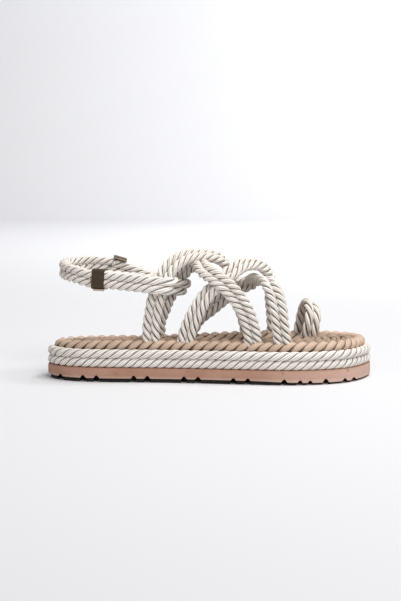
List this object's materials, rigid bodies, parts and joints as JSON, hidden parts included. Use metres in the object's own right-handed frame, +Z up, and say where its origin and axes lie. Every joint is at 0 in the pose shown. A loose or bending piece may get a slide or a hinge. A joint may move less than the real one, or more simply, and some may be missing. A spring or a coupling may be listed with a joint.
{
  "type": "rope sandal",
  "caption": "Flat right-foot rope sandal: foam sole, rope welt, coiled rope footbed, crossed rope straps, toe loop and sling-back heel strap with folded metal clips.",
  "frame": {"origin": "on the floor under the middle of the sole, on the flat tread between two pairs of grooves", "axes": "+X towards the toe, +Y towards the inner (big toe) side, +Z up"},
  "size_m": [0.25, 0.092, 0.0991],
  "materials": {
    "foam_rubber": "matt foam rubber, pinkish tan, slightly scuffed",
    "white_rope": "laid cotton-like rope, off-white, matt",
    "tan_rope": "laid satin rope, tan",
    "bronze": "dark bronze, worn at the edges"
  },
  "bodies": {
    "root": {"outsole": "foam_rubber", "welt_rope_lower": "white_rope", "welt_rope_upper": "white_rope", "insole_edge_rope": "tan_rope", "insole_coil": "tan_rope", "upper_straps": "white_rope", "toe_loop": "white_rope", "heel_strap": "white_rope", "clip_lateral": "bronze", "clip_medial": "bronze"}
  },
  "joints": []
}
